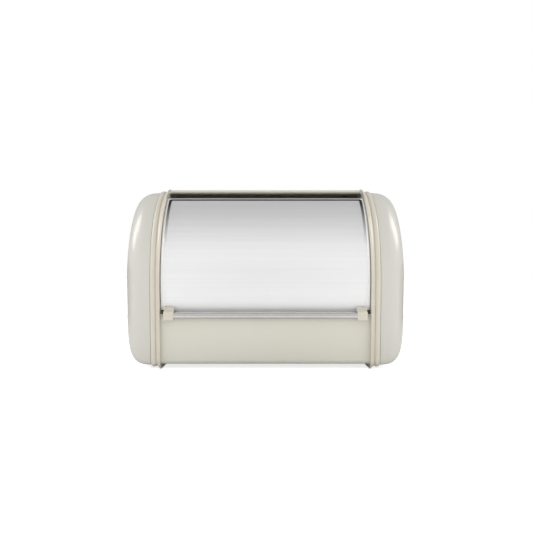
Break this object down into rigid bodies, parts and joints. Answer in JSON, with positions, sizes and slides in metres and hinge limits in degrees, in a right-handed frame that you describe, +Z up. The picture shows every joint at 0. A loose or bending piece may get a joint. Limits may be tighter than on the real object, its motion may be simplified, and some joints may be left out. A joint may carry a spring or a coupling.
{
  "type": "bread box with roll top",
  "caption": "Countertop bread box with rounded end domes, flared rims and a curved stainless steel lid that rolls up and back under the top, pulled by a chrome bar.",
  "frame": {"origin": "on the floor, at the middle of the footprint", "axes": "+X to the right as seen from the front, -Y towards the front, +Z up"},
  "size_m": [0.4, 0.27, 0.2666],
  "materials": {
    "cream_paint": "gloss",
    "cream_enamel": "gloss",
    "cream_plastic": "gloss",
    "cream_clip_plastic": "gloss",
    "brushed_stainless": "satin",
    "chrome": "polished",
    "zinc_steel": "satin",
    "white_plastic": "matte",
    "black_rubber": "matte"
  },
  "bodies": {
    "box": {"back_and_top_sheet": "cream_paint", "front_and_base_sheet": "cream_paint", "left_buffer_rivets": "zinc_steel", "left_closed_buffer": "black_rubber", "left_dome_screws": "zinc_steel", "left_end_dome": "cream_enamel", "left_open_buffer": "black_rubber", "left_pivot_bush": "white_plastic", "left_rim": "cream_plastic", "left_side_plate": "cream_paint", "right_buffer_rivets": "zinc_steel", "right_closed_buffer": "black_rubber", "right_dome_screws": "zinc_steel", "right_end_dome": "cream_enamel", "right_open_buffer": "black_rubber", "right_pivot_bush": "white_plastic", "right_rim": "cream_plastic", "right_side_plate": "cream_paint", "seam_rivets": "zinc_steel"},
    "lid": {"clip_screws": "zinc_steel", "handle_bar": "chrome", "left_handle_clip": "cream_clip_plastic", "left_lid_arm": "zinc_steel", "left_pivot_pin": "zinc_steel", "left_pivot_washer": "white_plastic", "left_retaining_ring": "zinc_steel", "lid_sheet": "brushed_stainless", "right_handle_clip": "cream_clip_plastic", "right_lid_arm": "zinc_steel", "right_pivot_pin": "zinc_steel", "right_pivot_washer": "white_plastic", "right_retaining_ring": "zinc_steel"}
  },
  "joints": [
    {"name": "lid_roll", "type": "hinge", "parent": "box", "child": "lid", "pos_m": [0, -0.0115, 0.123], "axis": [-1, 0, 0], "range_deg": [0, 82]}
  ]
}
